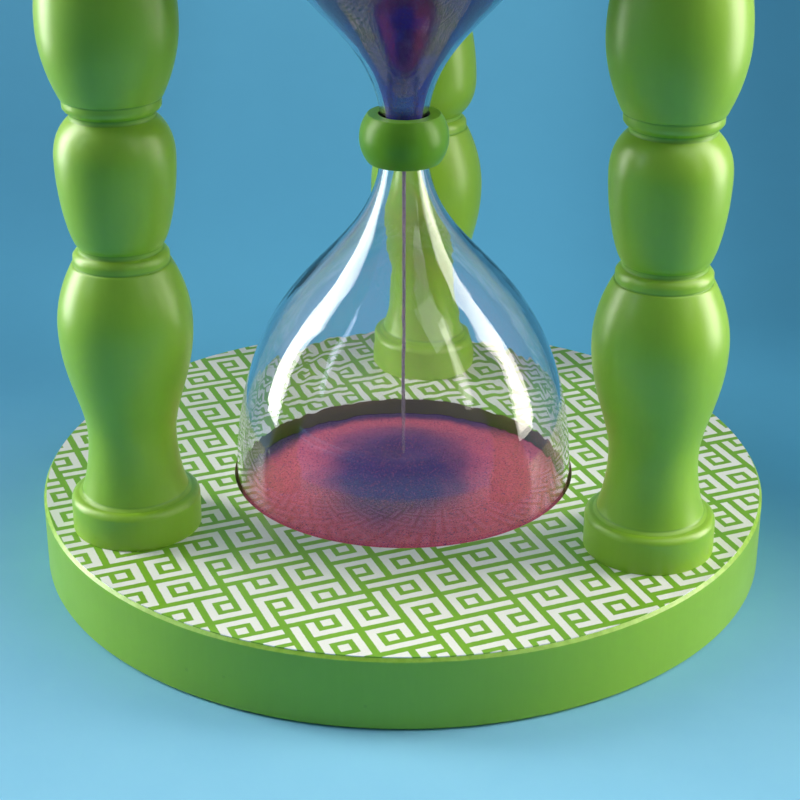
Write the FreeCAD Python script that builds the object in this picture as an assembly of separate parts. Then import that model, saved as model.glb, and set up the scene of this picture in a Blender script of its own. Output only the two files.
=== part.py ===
import FreeCAD, Part
import math
import os

# Hourglass in a turned wooden frame: two round plates, three turned spindles, two blown
# bulbs whose necks meet at a pierced disc, and a loose ring round the necks.
# Millimetres, +Z up. Origin: centre of the base plate's underside. The top end repeats
# the base end, turned over about the height's middle.

# Glass
bulb_diameter = 89.0
bulb_wall = 1.3
neck_diameter = 11.4
neck_bore = 8.8
end_corner_radius = 7.0          # corner where a bulb's side turns into its closed end
shoulder_fullness = 0.70         # pull of the side on the flank's S curve, share of its height
neck_fullness = 0.38             # pull of the neck on the same curve
inner_shoulder_fullness = 0.66
inner_neck_fullness = 0.37

# Pierced disc between the necks
disc_thickness = 1.0
disc_hole_diameter = 1.6

# Ring round the necks
ring_height = 12.2
ring_clearance = 0.35            # radial, bore to the necks' flare at the ring's two ends
ring_face_width = 2.75           # flat ring face, bore to outer edge
ring_bulge = 2.1                 # how far the round side stands out past the face

# Plates
plate_thickness = 19.0
plate_margin = 5.0               # from a spindle's foot to the plate's rim
plate_edge_round = 0.6
recess_depth = 12.0
recess_clearance = 0.6           # radial, bulb to recess wall
bulb_foot_gap = 12.9             # clear plate between the recess and a spindle's foot
sheet_thickness = 0.25
sheet_rim = 0.7                  # bare plate left outside the sheet's edge
pad_thickness = 1.5
pad_clearance = 1.0

# Spindles
spindle_length = 183.0
foot_diameter = 32.0
foot_height = 9.6
foot_round = 1.9
ledge_width = 1.0
ledge_rise = 0.7
waist_diameter = 21.7
waist_height = 25.0              # above the spindle's own end
waist_fullness = 0.30            # pull of the waist on the stem, share of the stem's height
vase_fullness = 0.45             # pull of the vase on the same stem
vase_diameter = 32.4
lower_vase_from_middle = 37.4    # widest point of a vase, from mid length
upper_vase_from_middle = 36.5
vase_lip = 0.4                   # how far the end of a vase stands out past its collar
collar_diameter = 23.0
collar_height = 3.6
collar_round = 1.7               # height of the rounding where a collar runs into its groove
lower_collar_from_middle = 17.9  # edge of a collar at its groove, from mid length
upper_collar_from_middle = 15.4
groove_diameter = 20.0
groove_height = 1.0
barrel_diameter = 28.3
barrel_from_middle = 4.5         # widest point, towards the spindle's head
barrel_end_spread = 1.9          # how far the barrel's curve is pulled out past a groove
barrel_end_pull = 1.6            # and how far along the spindle
lower_barrel_fullness = 0.44     # pull of the widest point, share of the way to the groove
upper_barrel_fullness = 0.55
tenon_diameter = 16.0
tenon_length = 7.8
spindle_angles = {"back": 90.0, "left": 210.0, "right": 330.0}
turned_over = "back"             # the one spindle that stands head down

# Joinery
tenon_end_gap = 0.45             # socket left under a tenon's end
joint_clearance = 0.05           # radial, tenon to socket, plug to bore, screw to hole
counterbore_diameter = 10.1
counterbore_depth = 5.0
plug_gap = 0.2                   # between a plug and the screw head under it
screw_head_diameter = 8.0
screw_head_height = 2.2
screw_diameter = 4.0
screw_length = 32.0
screw_point = 3.0
screw_hole_spare = 1.0           # hole left past the screw's point

# Sand
sand_fit = 0.15                  # radial, sand to glass
lower_sand_drop = 4.0            # sand at the wall, below the base plate's inner face
heap_rise = 9.5                  # rim of the heap's dimple above the sand at the wall
heap_dimple_radius = 8.0
heap_dimple_depth = 1.0
heap_crest_width = 6.0           # rounded crest outside the dimple
heap_skirt_radius = 26.7         # where the heap's slope is pulled towards the wall
heap_skirt_rise = 3.3
upper_sand_level = 64.0          # sand at the wall, above the glass's middle
upper_sand_dip = 20.0            # depth of the funnel in the upper sand
funnel_floor_radius = 2.0
funnel_brow_radius = 24.5        # where the funnel's slope is pulled towards the wall
funnel_brow_drop = 5.0
funnel_throat_radius = 13.3      # where the slope runs out into the funnel's floor
stream_diameter = 1.4

# Worked out from the sizes above
bulb_radius = bulb_diameter / 2
neck_radius = neck_diameter / 2
recess_radius = bulb_radius + recess_clearance
foot_radius = foot_diameter / 2
circle_radius = recess_radius + bulb_foot_gap + foot_radius
plate_radius = circle_radius + foot_radius + plate_margin
inner_face = plate_thickness
spindle_base = inner_face + sheet_thickness
overall_height = 2 * spindle_base + spindle_length
middle = overall_height / 2
bulb_bottom = inner_face - recess_depth + pad_thickness
flank_start = bulb_bottom + end_corner_radius
neck_end = middle - disc_thickness / 2
heap_wall_height = inner_face - lower_sand_drop
heap_floor_height = heap_wall_height + heap_rise - heap_dimple_depth
tenon_radius = tenon_diameter / 2
socket_depth = tenon_length - sheet_thickness + tenon_end_gap
plug_radius = counterbore_diameter / 2 - joint_clearance

up = FreeCAD.Vector(0, 0, 1)
origin = FreeCAD.Vector(0, 0, 0)


def at(radius, height):
    return FreeCAD.Vector(radius, 0, height)


def straight(start, end):
    return Part.LineSegment(at(*start), at(*end)).toShape()


def arc(start, via, end):
    return Part.Arc(at(*start), at(*via), at(*end)).toShape()


def pulled(*poles):
    curve = Part.BezierCurve()
    curve.setPoles([at(*pole) for pole in poles])
    return curve.toShape()


def turned(edges):
    """Solid of revolution about Z from the edges of a closed half section."""
    wire = Part.Wire(Part.__sortEdges__(edges))
    return Part.Face(wire).revolve(origin, up, 360)


def cylinder(radius, bottom, top):
    return Part.makeCylinder(radius, top - bottom, at(0, bottom))


def turn_over(shape):
    """The same piece at the other end of the hourglass, turned about Y."""
    copy = shape.copy()
    copy.rotate(FreeCAD.Vector(0, 0, middle), FreeCAD.Vector(0, 1, 0), 180)
    return copy


def turned_angle(angle):
    """Where a place round the Z axis lands when it is turned over."""
    return 180 - angle


def spindle_place(angle):
    turn = math.radians(angle)
    return FreeCAD.Vector(circle_radius * math.cos(turn), circle_radius * math.sin(turn), 0)


def moved(shape, place):
    copy = shape.copy()
    copy.translate(place)
    return copy


# Glass

def corner_via(radius, bottom, corner):
    """Middle point of the rounded corner between a flat end and an upright side."""
    slant = corner * (1 - math.sqrt(0.5))
    return (radius - slant, bottom + slant)


def flank(radius, start, bore, shoulder, neck):
    """S curve from the upright side at the plate to the upright neck at the middle."""
    height = neck_end - start
    return pulled((radius, start), (radius, start + shoulder * height),
                  (bore, neck_end - neck * height), (bore, neck_end))


def inner_flank(inset):
    return flank(bulb_radius - bulb_wall - inset, flank_start, neck_bore / 2 - inset,
                 inner_shoulder_fullness, inner_neck_fullness)


def lower_bulb():
    inside = bulb_radius - bulb_wall
    corner = end_corner_radius - bulb_wall
    floor = bulb_bottom + bulb_wall
    bore = neck_bore / 2
    edges = [
        straight((0, bulb_bottom), (bulb_radius - end_corner_radius, bulb_bottom)),
        arc((bulb_radius - end_corner_radius, bulb_bottom),
            corner_via(bulb_radius, bulb_bottom, end_corner_radius),
            (bulb_radius, flank_start)),
        flank(bulb_radius, flank_start, neck_radius, shoulder_fullness, neck_fullness),
        straight((neck_radius, neck_end), (bore, neck_end)),
        inner_flank(0),
        arc((inside, flank_start), corner_via(inside, floor, corner), (inside - corner, floor)),
        straight((inside - corner, floor), (0, floor)),
        straight((0, floor), (0, bulb_bottom)),
    ]
    return turned(edges)


def orifice_disc():
    disc = cylinder(neck_radius, neck_end, neck_end + disc_thickness)
    return disc.cut(cylinder(disc_hole_diameter / 2, neck_end, neck_end + disc_thickness))


def flare_radius(height):
    """Radius of the lower bulb's outer surface at a height on its flank."""
    outline = flank(bulb_radius, flank_start, neck_radius, shoulder_fullness, neck_fullness)
    level = straight((0, height), (bulb_radius, height))
    return outline.distToShape(level)[1][0][0].x


def neck_ring():
    low = middle - ring_height / 2
    high = middle + ring_height / 2
    ring_bore_radius = flare_radius(low) + ring_clearance
    ring_face_radius = ring_bore_radius + ring_face_width
    edges = [
        straight((ring_bore_radius, low), (ring_face_radius, low)),
        arc((ring_face_radius, low), (ring_face_radius + ring_bulge, middle),
            (ring_face_radius, high)),
        straight((ring_face_radius, high), (ring_bore_radius, high)),
        straight((ring_bore_radius, high), (ring_bore_radius, low)),
    ]
    return turned(edges)


# Sand

def bulb_inside():
    """What fills the lower bulb and the bore of its neck, a hair inside the glass."""
    inside = bulb_radius - bulb_wall - sand_fit
    corner = end_corner_radius - bulb_wall - sand_fit
    floor = bulb_bottom + bulb_wall + sand_fit
    edges = [
        straight((0, floor), (inside - corner, floor)),
        arc((inside - corner, floor), corner_via(inside, floor, corner), (inside, flank_start)),
        inner_flank(sand_fit),
        straight((neck_bore / 2 - sand_fit, neck_end), (0, neck_end)),
        straight((0, neck_end), (0, floor)),
    ]
    return turned(edges)


def sand_mound():
    """Everything under the heap's surface: a gentle cone with a dimple under the stream."""
    rim_height = heap_wall_height + heap_rise
    wall = bulb_radius
    stream = stream_diameter / 2
    edges = [
        straight((0, 0), (wall, 0)),
        straight((wall, 0), (wall, heap_wall_height)),
        pulled((wall, heap_wall_height), (heap_skirt_radius, heap_wall_height + heap_skirt_rise),
               (heap_dimple_radius + heap_crest_width, rim_height),
               (heap_dimple_radius, rim_height)),
        pulled((heap_dimple_radius, rim_height), (heap_dimple_radius / 2, rim_height),
               (heap_dimple_radius / 2, heap_floor_height), (stream, heap_floor_height)),
        straight((stream, heap_floor_height), (0, heap_floor_height)),
        straight((0, heap_floor_height), (0, 0)),
    ]
    return turned(edges)


def lower_sand():
    return bulb_inside().common(sand_mound())


def upper_sand():
    """Sand still to run, as it lies when the bulb is turned over above the middle."""
    wall_height = middle + upper_sand_level
    floor_height = wall_height - upper_sand_dip
    wall = bulb_radius
    edges = [
        straight((0, middle), (wall, middle)),
        straight((wall, middle), (wall, wall_height)),
        pulled((wall, wall_height), (funnel_brow_radius, wall_height - funnel_brow_drop),
               (funnel_throat_radius, floor_height), (funnel_floor_radius, floor_height)),
        straight((funnel_floor_radius, floor_height), (0, floor_height)),
        straight((0, floor_height), (0, middle)),
    ]
    return turn_over(bulb_inside()).common(turned(edges))


def sand_stream():
    """Falling sand, from the hole in the disc to the dimple in the heap."""
    return cylinder(stream_diameter / 2, heap_floor_height, middle + disc_thickness / 2)


# Spindles

def end_edges(rise, vase_from_middle, collar_from_middle):
    """A spindle's outline from one end to the nearer groove; rise turns it over."""
    middle_rise = spindle_length / 2
    foot_top = foot_height
    drum_top = foot_top - foot_round
    slant = foot_round * (1 - math.sqrt(0.5))
    ledge_radius = foot_radius - foot_round - ledge_width
    ledge_top = foot_top + ledge_rise
    waist = waist_diameter / 2
    vase = vase_diameter / 2
    vase_height = middle_rise - vase_from_middle
    collar_top = middle_rise - collar_from_middle
    collar_low = collar_top - collar_height
    collar_turn = collar_top - collar_round
    collar = collar_diameter / 2
    lip = collar + vase_lip
    lip_top = collar_low + vase_lip / 2
    groove = groove_diameter / 2
    stem = vase_height - waist_height

    def point(radius, height):
        return (radius, rise(height))

    return [
        straight(point(0, 0), point(foot_radius, 0)),
        straight(point(foot_radius, 0), point(foot_radius, drum_top)),
        arc(point(foot_radius, drum_top), point(foot_radius - slant, foot_top - slant),
            point(foot_radius - foot_round, foot_top)),
        straight(point(foot_radius - foot_round, foot_top), point(ledge_radius, ledge_top)),
        pulled(point(ledge_radius, ledge_top), point(waist, (ledge_top + waist_height) / 2),
               point(waist, waist_height)),
        pulled(point(waist, waist_height), point(waist, waist_height + waist_fullness * stem),
               point(vase, vase_height - vase_fullness * stem), point(vase, vase_height)),
        pulled(point(vase, vase_height), point(vase, (vase_height + collar_low) / 2),
               point(lip, collar_low)),
        straight(point(lip, collar_low), point(collar, lip_top)),
        straight(point(collar, lip_top), point(collar, collar_turn)),
        pulled(point(collar, collar_turn), point(collar, (collar_turn + collar_top) / 2),
               point(groove, collar_top)),
        straight(point(groove, collar_top), point(groove, collar_top + groove_height)),
    ]


def barrel_edges():
    """Outline between the two grooves: a slow swell, then a quicker shoulder."""
    middle_rise = spindle_length / 2
    groove = groove_diameter / 2
    low = middle_rise - lower_collar_from_middle + groove_height
    high = middle_rise + upper_collar_from_middle - groove_height
    barrel = barrel_diameter / 2
    widest = middle_rise + barrel_from_middle
    spread = groove + barrel_end_spread
    return [
        pulled((groove, low), (spread, low + barrel_end_pull),
               (barrel, widest - lower_barrel_fullness * (widest - low)), (barrel, widest)),
        pulled((barrel, widest), (barrel, widest + upper_barrel_fullness * (high - widest)),
               (spread, high - barrel_end_pull), (groove, high)),
    ]


def spindle():
    """One spindle, head up, standing on Z = 0 with a tenon below and one above."""
    lower = end_edges(lambda height: height, lower_vase_from_middle, lower_collar_from_middle)
    upper = end_edges(lambda height: spindle_length - height,
                      upper_vase_from_middle, upper_collar_from_middle)
    axis = straight((0, 0), (0, spindle_length))
    body = turned(lower + upper + barrel_edges() + [axis])
    tenons = cylinder(tenon_radius, -tenon_length, spindle_length + tenon_length)
    hole_radius = screw_diameter / 2 + joint_clearance
    hole_depth = counterbore_depth + screw_length + screw_hole_spare - spindle_base
    hole = cylinder(hole_radius, -tenon_length, hole_depth)
    other_hole = cylinder(hole_radius, spindle_length - hole_depth, spindle_length + tenon_length)
    return body.fuse(tenons).removeSplitter().cut(hole).cut(other_hole)


def placed_spindle(name):
    piece = moved(spindle(), at(0, spindle_base))
    if name == turned_over:
        piece = turn_over(piece)
    return moved(piece, spindle_place(spindle_angles[name]))


# Plates and what is fastened to them

def screw_cutter():
    """Counterbore, countersink, clearance hole and tenon socket, on the Z axis."""
    head_bottom = counterbore_depth + screw_head_height
    sink = Part.makeCone(screw_head_diameter / 2 + joint_clearance,
                         screw_diameter / 2 + joint_clearance,
                         screw_head_height, at(0, counterbore_depth))
    cutter = cylinder(counterbore_diameter / 2, 0, counterbore_depth)
    cutter = cutter.fuse(sink)
    shank = cylinder(screw_diameter / 2 + joint_clearance, head_bottom, inner_face)
    socket = cylinder(tenon_radius + joint_clearance, inner_face - socket_depth, inner_face)
    return cutter.fuse(shank).fuse(socket)


def base_plate():
    plate = cylinder(plate_radius, 0, plate_thickness)
    plate = plate.makeFillet(plate_edge_round, plate.Edges[0:1] + plate.Edges[2:3])
    plate = plate.cut(cylinder(recess_radius, inner_face - recess_depth, inner_face))
    cutter = screw_cutter()
    for angle in spindle_angles.values():
        plate = plate.cut(moved(cutter, spindle_place(angle)))
    return plate


def base_sheet():
    """Printed sheet glued to the plate's inner face, cut out for the bulb and the tenons."""
    sheet = cylinder(plate_radius - sheet_rim, inner_face, spindle_base)
    sheet = sheet.cut(cylinder(recess_radius, inner_face, spindle_base))
    hole = cylinder(tenon_radius + joint_clearance, inner_face, spindle_base)
    for angle in spindle_angles.values():
        sheet = sheet.cut(moved(hole, spindle_place(angle)))
    return sheet


def lower_pad():
    bottom = inner_face - recess_depth
    return cylinder(recess_radius - pad_clearance, bottom, bottom + pad_thickness)


def screw(angle):
    head = screw_head_diameter / 2
    shank = screw_diameter / 2
    bottom = counterbore_depth
    tip = bottom + screw_length
    edges = [
        straight((0, bottom), (head, bottom)),
        straight((head, bottom), (shank, bottom + screw_head_height)),
        straight((shank, bottom + screw_head_height), (shank, tip - screw_point)),
        straight((shank, tip - screw_point), (0, tip)),
        straight((0, tip), (0, bottom)),
    ]
    return moved(turned(edges), spindle_place(angle))


def plug(angle):
    return moved(cylinder(plug_radius, 0, counterbore_depth - plug_gap), spindle_place(angle))


pieces = {
    "base_plate": base_plate(),
    "base_sheet": base_sheet(),
    "lower_pad": lower_pad(),
    "lower_bulb": lower_bulb(),
    "orifice_disc": orifice_disc(),
    "neck_ring": neck_ring(),
    "lower_sand": lower_sand(),
    "upper_sand": upper_sand(),
    "sand_stream": sand_stream(),
}
pieces["top_plate"] = turn_over(pieces["base_plate"])
pieces["top_sheet"] = turn_over(pieces["base_sheet"])
pieces["upper_pad"] = turn_over(pieces["lower_pad"])
pieces["upper_bulb"] = turn_over(pieces["lower_bulb"])
for name, angle in spindle_angles.items():
    pieces["spindle_" + name] = placed_spindle(name)
    pieces["base_screw_" + name] = screw(angle)
    pieces["base_plug_" + name] = plug(angle)
    pieces["top_screw_" + name] = turn_over(screw(turned_angle(angle)))
    pieces["top_plug_" + name] = turn_over(plug(turned_angle(angle)))

os.makedirs("parts", exist_ok=True)
for name, piece in pieces.items():
    piece.exportStep("parts/" + name + ".step")
    print(name, "valid" if piece.isValid() else "NOT VALID", round(piece.Volume, 1))
print("overall height", overall_height, "plate diameter", 2 * plate_radius)
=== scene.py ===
import math
from functools import partial

import bpy
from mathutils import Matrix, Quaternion, Vector


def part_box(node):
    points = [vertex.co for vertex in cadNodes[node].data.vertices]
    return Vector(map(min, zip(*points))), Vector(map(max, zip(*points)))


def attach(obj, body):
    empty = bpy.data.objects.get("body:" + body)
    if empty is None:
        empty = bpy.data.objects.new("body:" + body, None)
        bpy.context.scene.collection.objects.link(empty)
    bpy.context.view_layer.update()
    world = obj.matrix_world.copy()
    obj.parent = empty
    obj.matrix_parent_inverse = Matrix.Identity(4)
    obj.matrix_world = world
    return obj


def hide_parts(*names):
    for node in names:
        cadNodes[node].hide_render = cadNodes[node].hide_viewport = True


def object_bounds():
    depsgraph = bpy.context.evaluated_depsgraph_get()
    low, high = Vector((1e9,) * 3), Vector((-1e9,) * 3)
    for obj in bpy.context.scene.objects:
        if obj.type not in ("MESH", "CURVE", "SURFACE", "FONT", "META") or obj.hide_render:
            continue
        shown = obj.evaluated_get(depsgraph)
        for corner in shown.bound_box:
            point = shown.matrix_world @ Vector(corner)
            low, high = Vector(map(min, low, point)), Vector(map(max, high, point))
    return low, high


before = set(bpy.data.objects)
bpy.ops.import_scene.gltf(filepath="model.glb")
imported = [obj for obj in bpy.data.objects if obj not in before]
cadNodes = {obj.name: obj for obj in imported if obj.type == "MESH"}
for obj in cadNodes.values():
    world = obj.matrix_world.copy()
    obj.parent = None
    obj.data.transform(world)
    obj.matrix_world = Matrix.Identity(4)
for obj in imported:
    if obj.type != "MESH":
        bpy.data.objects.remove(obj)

cadLow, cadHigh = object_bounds()
mm = 0.001  # outlines are written in millimetres


def placed(name, data):
    thing = bpy.data.objects.new(name, data)
    bpy.context.scene.collection.objects.link(thing)
    return thing


# Small helpers for node trees

def spoken(name):  # turnSteps -> Turn Steps, as sockets are labelled
    return "".join(" " + c if c.isupper() else c for c in name).strip().title()


def nodeGroup(kind, inputs, outputs):  # turns a function that lays out nodes into a node group
    def made(layOut):
        tree = bpy.data.node_groups.new(layOut.__name__, kind + "NodeTree")
        for way, sockets in (("INPUT", inputs), ("OUTPUT", outputs)):
            for socketKind, labels in sockets.items():
                for label in labels.split(", "):
                    tree.interface.new_socket(label, in_out=way,
                                              socket_type="NodeSocket" + socketKind)
        results = layOut(tree, tree.nodes.new("NodeGroupInput").outputs)
        results = results if isinstance(results, tuple) else (results,)
        for socket, result in zip(tree.nodes.new("NodeGroupOutput").inputs, results):
            feed(socket, result)
        return tree
    return made


def treeOf(*values):  # the tree that the sockets among these values belong to
    return next(value.id_data for value in values if isinstance(value, bpy.types.NodeSocket))


def feed(socket, value):
    if isinstance(value, bpy.types.NodeSocket):
        value.id_data.links.new(value, socket)
    else:
        socket.default_value = value


def put(tree, kind, inputs=(), **settings):  # a bare kind is one of the tree's own
    node = tree.nodes.new(kind if "Node" in kind else tree.bl_idname.replace("Tree", kind))
    for name, value in settings.items():
        setattr(node, name, value)
    for key, value in dict(inputs).items():
        feed(node.inputs[key], value)
    return node


def out(tree, kind, inputs=(), **settings):
    return put(tree, kind, inputs, **settings).outputs[0]


def calc(operation, *values, clamp=False):
    return out(treeOf(*values), "ShaderNodeMath", enumerate(values), operation=operation,
               use_clamp=clamp)


plus, minus, times, larger = (
    partial(calc, operation) for operation in ("ADD", "SUBTRACT", "MULTIPLY", "MAXIMUM"))


def vectorCalc(operation, *values):
    return out(treeOf(*values), "ShaderNodeVectorMath", enumerate(values), operation=operation)


def axesOf(vector):
    return put(vector.id_data, "ShaderNodeSeparateXYZ", {0: vector}).outputs


def vectorOf(x=0.0, y=0.0, z=0.0):
    return out(treeOf(x, y, z), "ShaderNodeCombineXYZ", {0: x, 1: y, 2: z})


def roundAxis(reach, turn, height=0.0):
    return vectorOf(times(reach, calc("COSINE", turn)), times(reach, calc("SINE", turn)), height)


def useGroup(tree, group, **inputs):
    node = put(tree, "Group", node_tree=group)
    for name, value in inputs.items():
        feed(node.inputs[spoken(name)], value)
    return node.outputs


def solid(geometry):
    return out(geometry.id_data, "RealizeInstances", {"Geometry": geometry})


def covered(geometry, finish):  # plain mesh, all in one material
    return out(geometry.id_data, "SetMaterial", {"Geometry": solid(geometry), "Material": finish})


def grown(piece, tree, **values):
    change = piece.modifiers.new(tree.name, "NODES")
    change.node_group = tree
    sockets = {item.name: item.identifier for item in tree.interface.items_tree
               if item.item_type == "SOCKET" and item.in_out == "INPUT"}
    for name, value in values.items():
        change[sockets[spoken(name)]] = value
    bpy.context.view_layer.update()
    evaluated = piece.evaluated_get(bpy.context.evaluated_depsgraph_get())
    mesh = bpy.data.meshes.new_from_object(evaluated)
    piece.modifiers.clear()
    piece.data = mesh
    return piece


# Camera: a low three-quarter view that crops the top of the frame

cameraSettings = {
    "lens": 83.42,
    "sensor": 36,
    "turn": 4.705,   # degrees round +Z, from the front
    "rise": 23.745,  # degrees that the view looks down
    "roll": 0.266,
    "place": (0.03936, -0.4435, 0.2440),
    "shift": (-0.0181, -0.0410),
    "clip": (0.01, 20),
}


def heading(turn, rise):  # from the front, so many degrees round +Z and up
    turn, rise = math.radians(turn), math.radians(rise)
    return Vector((math.sin(turn) * math.cos(rise), -math.cos(turn) * math.cos(rise),
                   math.sin(rise)))


def makeCamera():
    s = cameraSettings
    camera = placed("viewCamera", bpy.data.cameras.new("viewCamera"))
    roll = Quaternion((0, 0, 1), math.radians(s["roll"]))
    camera.rotation_mode = "QUATERNION"
    camera.rotation_quaternion = (-heading(s["turn"], s["rise"])).to_track_quat("-Z", "Y") @ roll
    camera.location = s["place"]
    camera.data.lens, camera.data.sensor_width = s["lens"], s["sensor"]
    camera.data.shift_x, camera.data.shift_y = s["shift"]
    camera.data.clip_start, camera.data.clip_end = s["clip"]
    bpy.context.scene.camera = camera


makeCamera()
print("camera in place")


# Outlines: runs of (radius, height) in millimetres, joined with slightly eased corners

outlineSettings = {
    "curveSteps": 96,
    "cornerShare": 0.3,     # most of a run that a corner may take
    "besideCorner": 0.35,   # gap of the closer points that keep a corner's crease narrow
    "quarterPull": 0.5523,  # brings a Bezier curve close to a quarter circle
    "foldReach": 0.45,
}


def lengthsAlong(points):
    lengths = [0.0]
    for a, b in zip(points, points[1:]):
        lengths.append(lengths[-1] + (b - a).length)
    return lengths


def pointAt(points, lengths, want):
    k = 0
    while k < len(points) - 2 and lengths[k + 1] < want:
        k += 1
    share = (want - lengths[k]) / max(lengths[k + 1] - lengths[k], 1e-9)
    return points[k].lerp(points[k + 1], min(max(share, 0.0), 1.0))


def bend(*poles):  # Bezier curve
    points, steps = [], outlineSettings["curveSteps"]
    for i in range(steps + 1):
        level = [Vector(pole) for pole in poles]
        while len(level) > 1:
            level = [a.lerp(b, i / steps) for a, b in zip(level, level[1:])]
        points.append(level[0])
    return points


def line(*ends):
    return [Vector(end) for end in ends]


def straights(*points):
    return [line(a, b) for a, b in zip(points, points[1:])]


def quarter(start, corner, end):
    start, corner, end = Vector(start), Vector(corner), Vector(end)
    pull = outlineSettings["quarterPull"]
    return bend(start, start.lerp(corner, pull), end.lerp(corner, pull), end)


def discRuns(radius, low, high, ease):  # from the axis, up the rounded side and back to the axis
    r, e = radius, ease
    return [line((0, low), (r - e, low)), quarter((r - e, low), (r, low), (r, low + e)),
            line((r, low + e), (r, high - e)), quarter((r, high - e), (r, high), (r - e, high)),
            line((r - e, high), (0, high))]


def joined(runs, ease=0.25, gap=1.0):
    s = outlineSettings
    outline, cuts, beside = [runs[0][0]], [], s["besideCorner"] * gap
    for run in runs:
        lengths = lengthsAlong(run)
        cut = min(ease, lengths[-1] * s["cornerShare"])
        steps = max(1, round((lengths[-1] - 2 * cut) / gap))
        marks = [cut + (lengths[-1] - 2 * cut) * i / steps for i in range(steps + 1)]
        if steps > 3:
            marks[1:1] = [cut + beside]
            marks[-1:-1] = [lengths[-1] - cut - beside]
        cuts.append([pointAt(run, lengths, mark) for mark in marks])
    for i, points in enumerate(cuts):
        outline += points
        if i + 1 < len(cuts):
            rounded = bend(points[-1], runs[i][-1], cuts[i + 1][0])
            outline += [rounded[s["curveSteps"] * k // 4] for k in (1, 2, 3)]
    outline.append(runs[-1][-1])
    return outline


def foldAlong(outline):  # turn of the outline: ridges above 0, creases below
    reach = outlineSettings["foldReach"]
    lengths = lengthsAlong(outline)
    folds = []
    for point, place in zip(outline, lengths):
        before = point - pointAt(outline, lengths, max(place - reach, 0))
        after = pointAt(outline, lengths, min(place + reach, lengths[-1])) - point
        if before.length < 1e-6 or after.length < 1e-6:
            folds.append(0.0)
        else:
            folds.append(before.normalized().cross(after.normalized()))
    return folds


# Turned forms: one tree spins an outline round the Z axis, then moves it into place

@nodeGroup("Geometry", {"Geometry": "Mesh", "Float": "Crease Angle"}, {"Geometry": "Mesh"})
def easedShading(tree, given):
    smooth = out(tree, "SetShadeSmooth",
                 {"Geometry": given["Mesh"], "Shade Smooth": True}, domain="FACE")
    angle = put(tree, "InputMeshEdgeAngle").outputs["Unsigned Angle"]
    steep = out(tree, "FunctionNodeCompare", {0: angle, 1: given["Crease Angle"]},
                operation="GREATER_THAN", data_type="FLOAT")
    return out(tree, "SetShadeSmooth", {
        "Geometry": smooth, "Selection": steep, "Shade Smooth": False}, domain="EDGE")


@nodeGroup("Geometry", {
    "Geometry": "Outline", "Int": "Turn Steps", "Float": "Crease Angle", "Vector": "Place",
    "Material": "Finish"}, {"Geometry": "Form"})
def turnedForm(tree, given):
    count = put(tree, "AttributeDomainSize", {"Geometry": given["Outline"]},
                component="MESH").outputs["Point Count"]
    columns = plus(given["Turn Steps"], 1.0)
    grid = put(tree, "MeshGrid", {
        "Size X": 1.0, "Size Y": 1.0, "Vertices X": columns, "Vertices Y": count})
    spot = axesOf(out(tree, "InputPosition"))
    turn = times(plus(spot[0], 0.5), math.tau)
    row = calc("ROUND", times(plus(spot[1], 0.5), minus(count, 1.0)))

    def sampled(value, kind):
        return out(tree, "SampleIndex", {
            "Geometry": given["Outline"], "Value": value, "Index": row}, data_type=kind)

    here = axesOf(sampled(out(tree, "InputPosition"), "FLOAT_VECTOR"))
    fold = out(tree, "InputNamedAttribute", {"Name": "fold"}, data_type="FLOAT")
    marked = out(tree, "StoreNamedAttribute", {
        "Geometry": grid.outputs["Mesh"], "Name": "fold", "Value": sampled(fold, "FLOAT")},
        data_type="FLOAT", domain="POINT")
    shaped = out(tree, "SetPosition", {
        "Geometry": marked, "Position": roundAxis(here[0], turn, here[2])})
    closed = out(tree, "MergeByDistance", {"Geometry": shaped, "Distance": 2e-6})
    moved = out(tree, "Transform", {"Geometry": closed, "Translation": given["Place"]})
    smooth = useGroup(tree, easedShading, mesh=moved, creaseAngle=given["Crease Angle"])[0]
    return covered(smooth, given["Finish"])


def outlinePiece(name, outline):
    mesh = bpy.data.meshes.new(name)
    mesh.from_pydata([(p.x * mm, 0, p.y * mm) for p in outline],
                     [(i, i + 1) for i in range(len(outline) - 1)], [])
    mesh.attributes.new("fold", "FLOAT", "POINT").data.foreach_set("value", foldAlong(outline))
    return placed(name, mesh)


def turnedPiece(name, outline, finish, steps=128, place=(0, 0, 0), creaseAngle=0.7):
    return grown(outlinePiece(name, outline), turnedForm, turnSteps=steps, place=place,
                 creaseAngle=creaseAngle, finish=finish)


def settled(piece, body, slotName, *replacedNodes):
    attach(piece, body)
    if replacedNodes:
        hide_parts(*replacedNodes)
    return piece


def heightOf(node, end):  # lowest (0) or highest (1) point of a node, in millimetres
    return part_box(node)[end].z / mm


def radiusOf(node):  # from the axis to the rim
    low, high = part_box(node)
    return (high.x - low.x) / 2 / mm


middle = (cadLow.z + cadHigh.z) / 2 / mm


def turnedOver(outline):  # the same outline at the other end, still running upwards
    return [Vector((p.x, 2 * middle - p.y)) for p in reversed(outline)]


# Finishes shared by several pieces

def tone(hexCode):  # sRGB hex to linear colour
    parts = [int(hexCode[i:i + 2], 16) / 255 for i in (0, 2, 4)]
    return tuple(c / 12.92 if c <= 0.04045 else ((c + 0.055) / 1.055) ** 2.4 for c in parts) + (1,)


def objectPlace(tree):
    return put(tree, "TexCoord").outputs["Object"]


def offAxis(x, y):  # distance from the Z axis
    return put(x.id_data, "ShaderNodeVectorMath", {0: vectorOf(x, y)},
               operation="LENGTH").outputs["Value"]


def noise(place, scale, detail=2.0, roughness=0.5):  # three scales draw it out
    if isinstance(scale, tuple):
        place, scale = vectorCalc("MULTIPLY", place, scale), 1.0
    return put(place.id_data, "ShaderNodeTexNoise", {
        "Vector": place, "Scale": scale, "Detail": detail, "Roughness": roughness}).outputs["Fac"]


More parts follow.
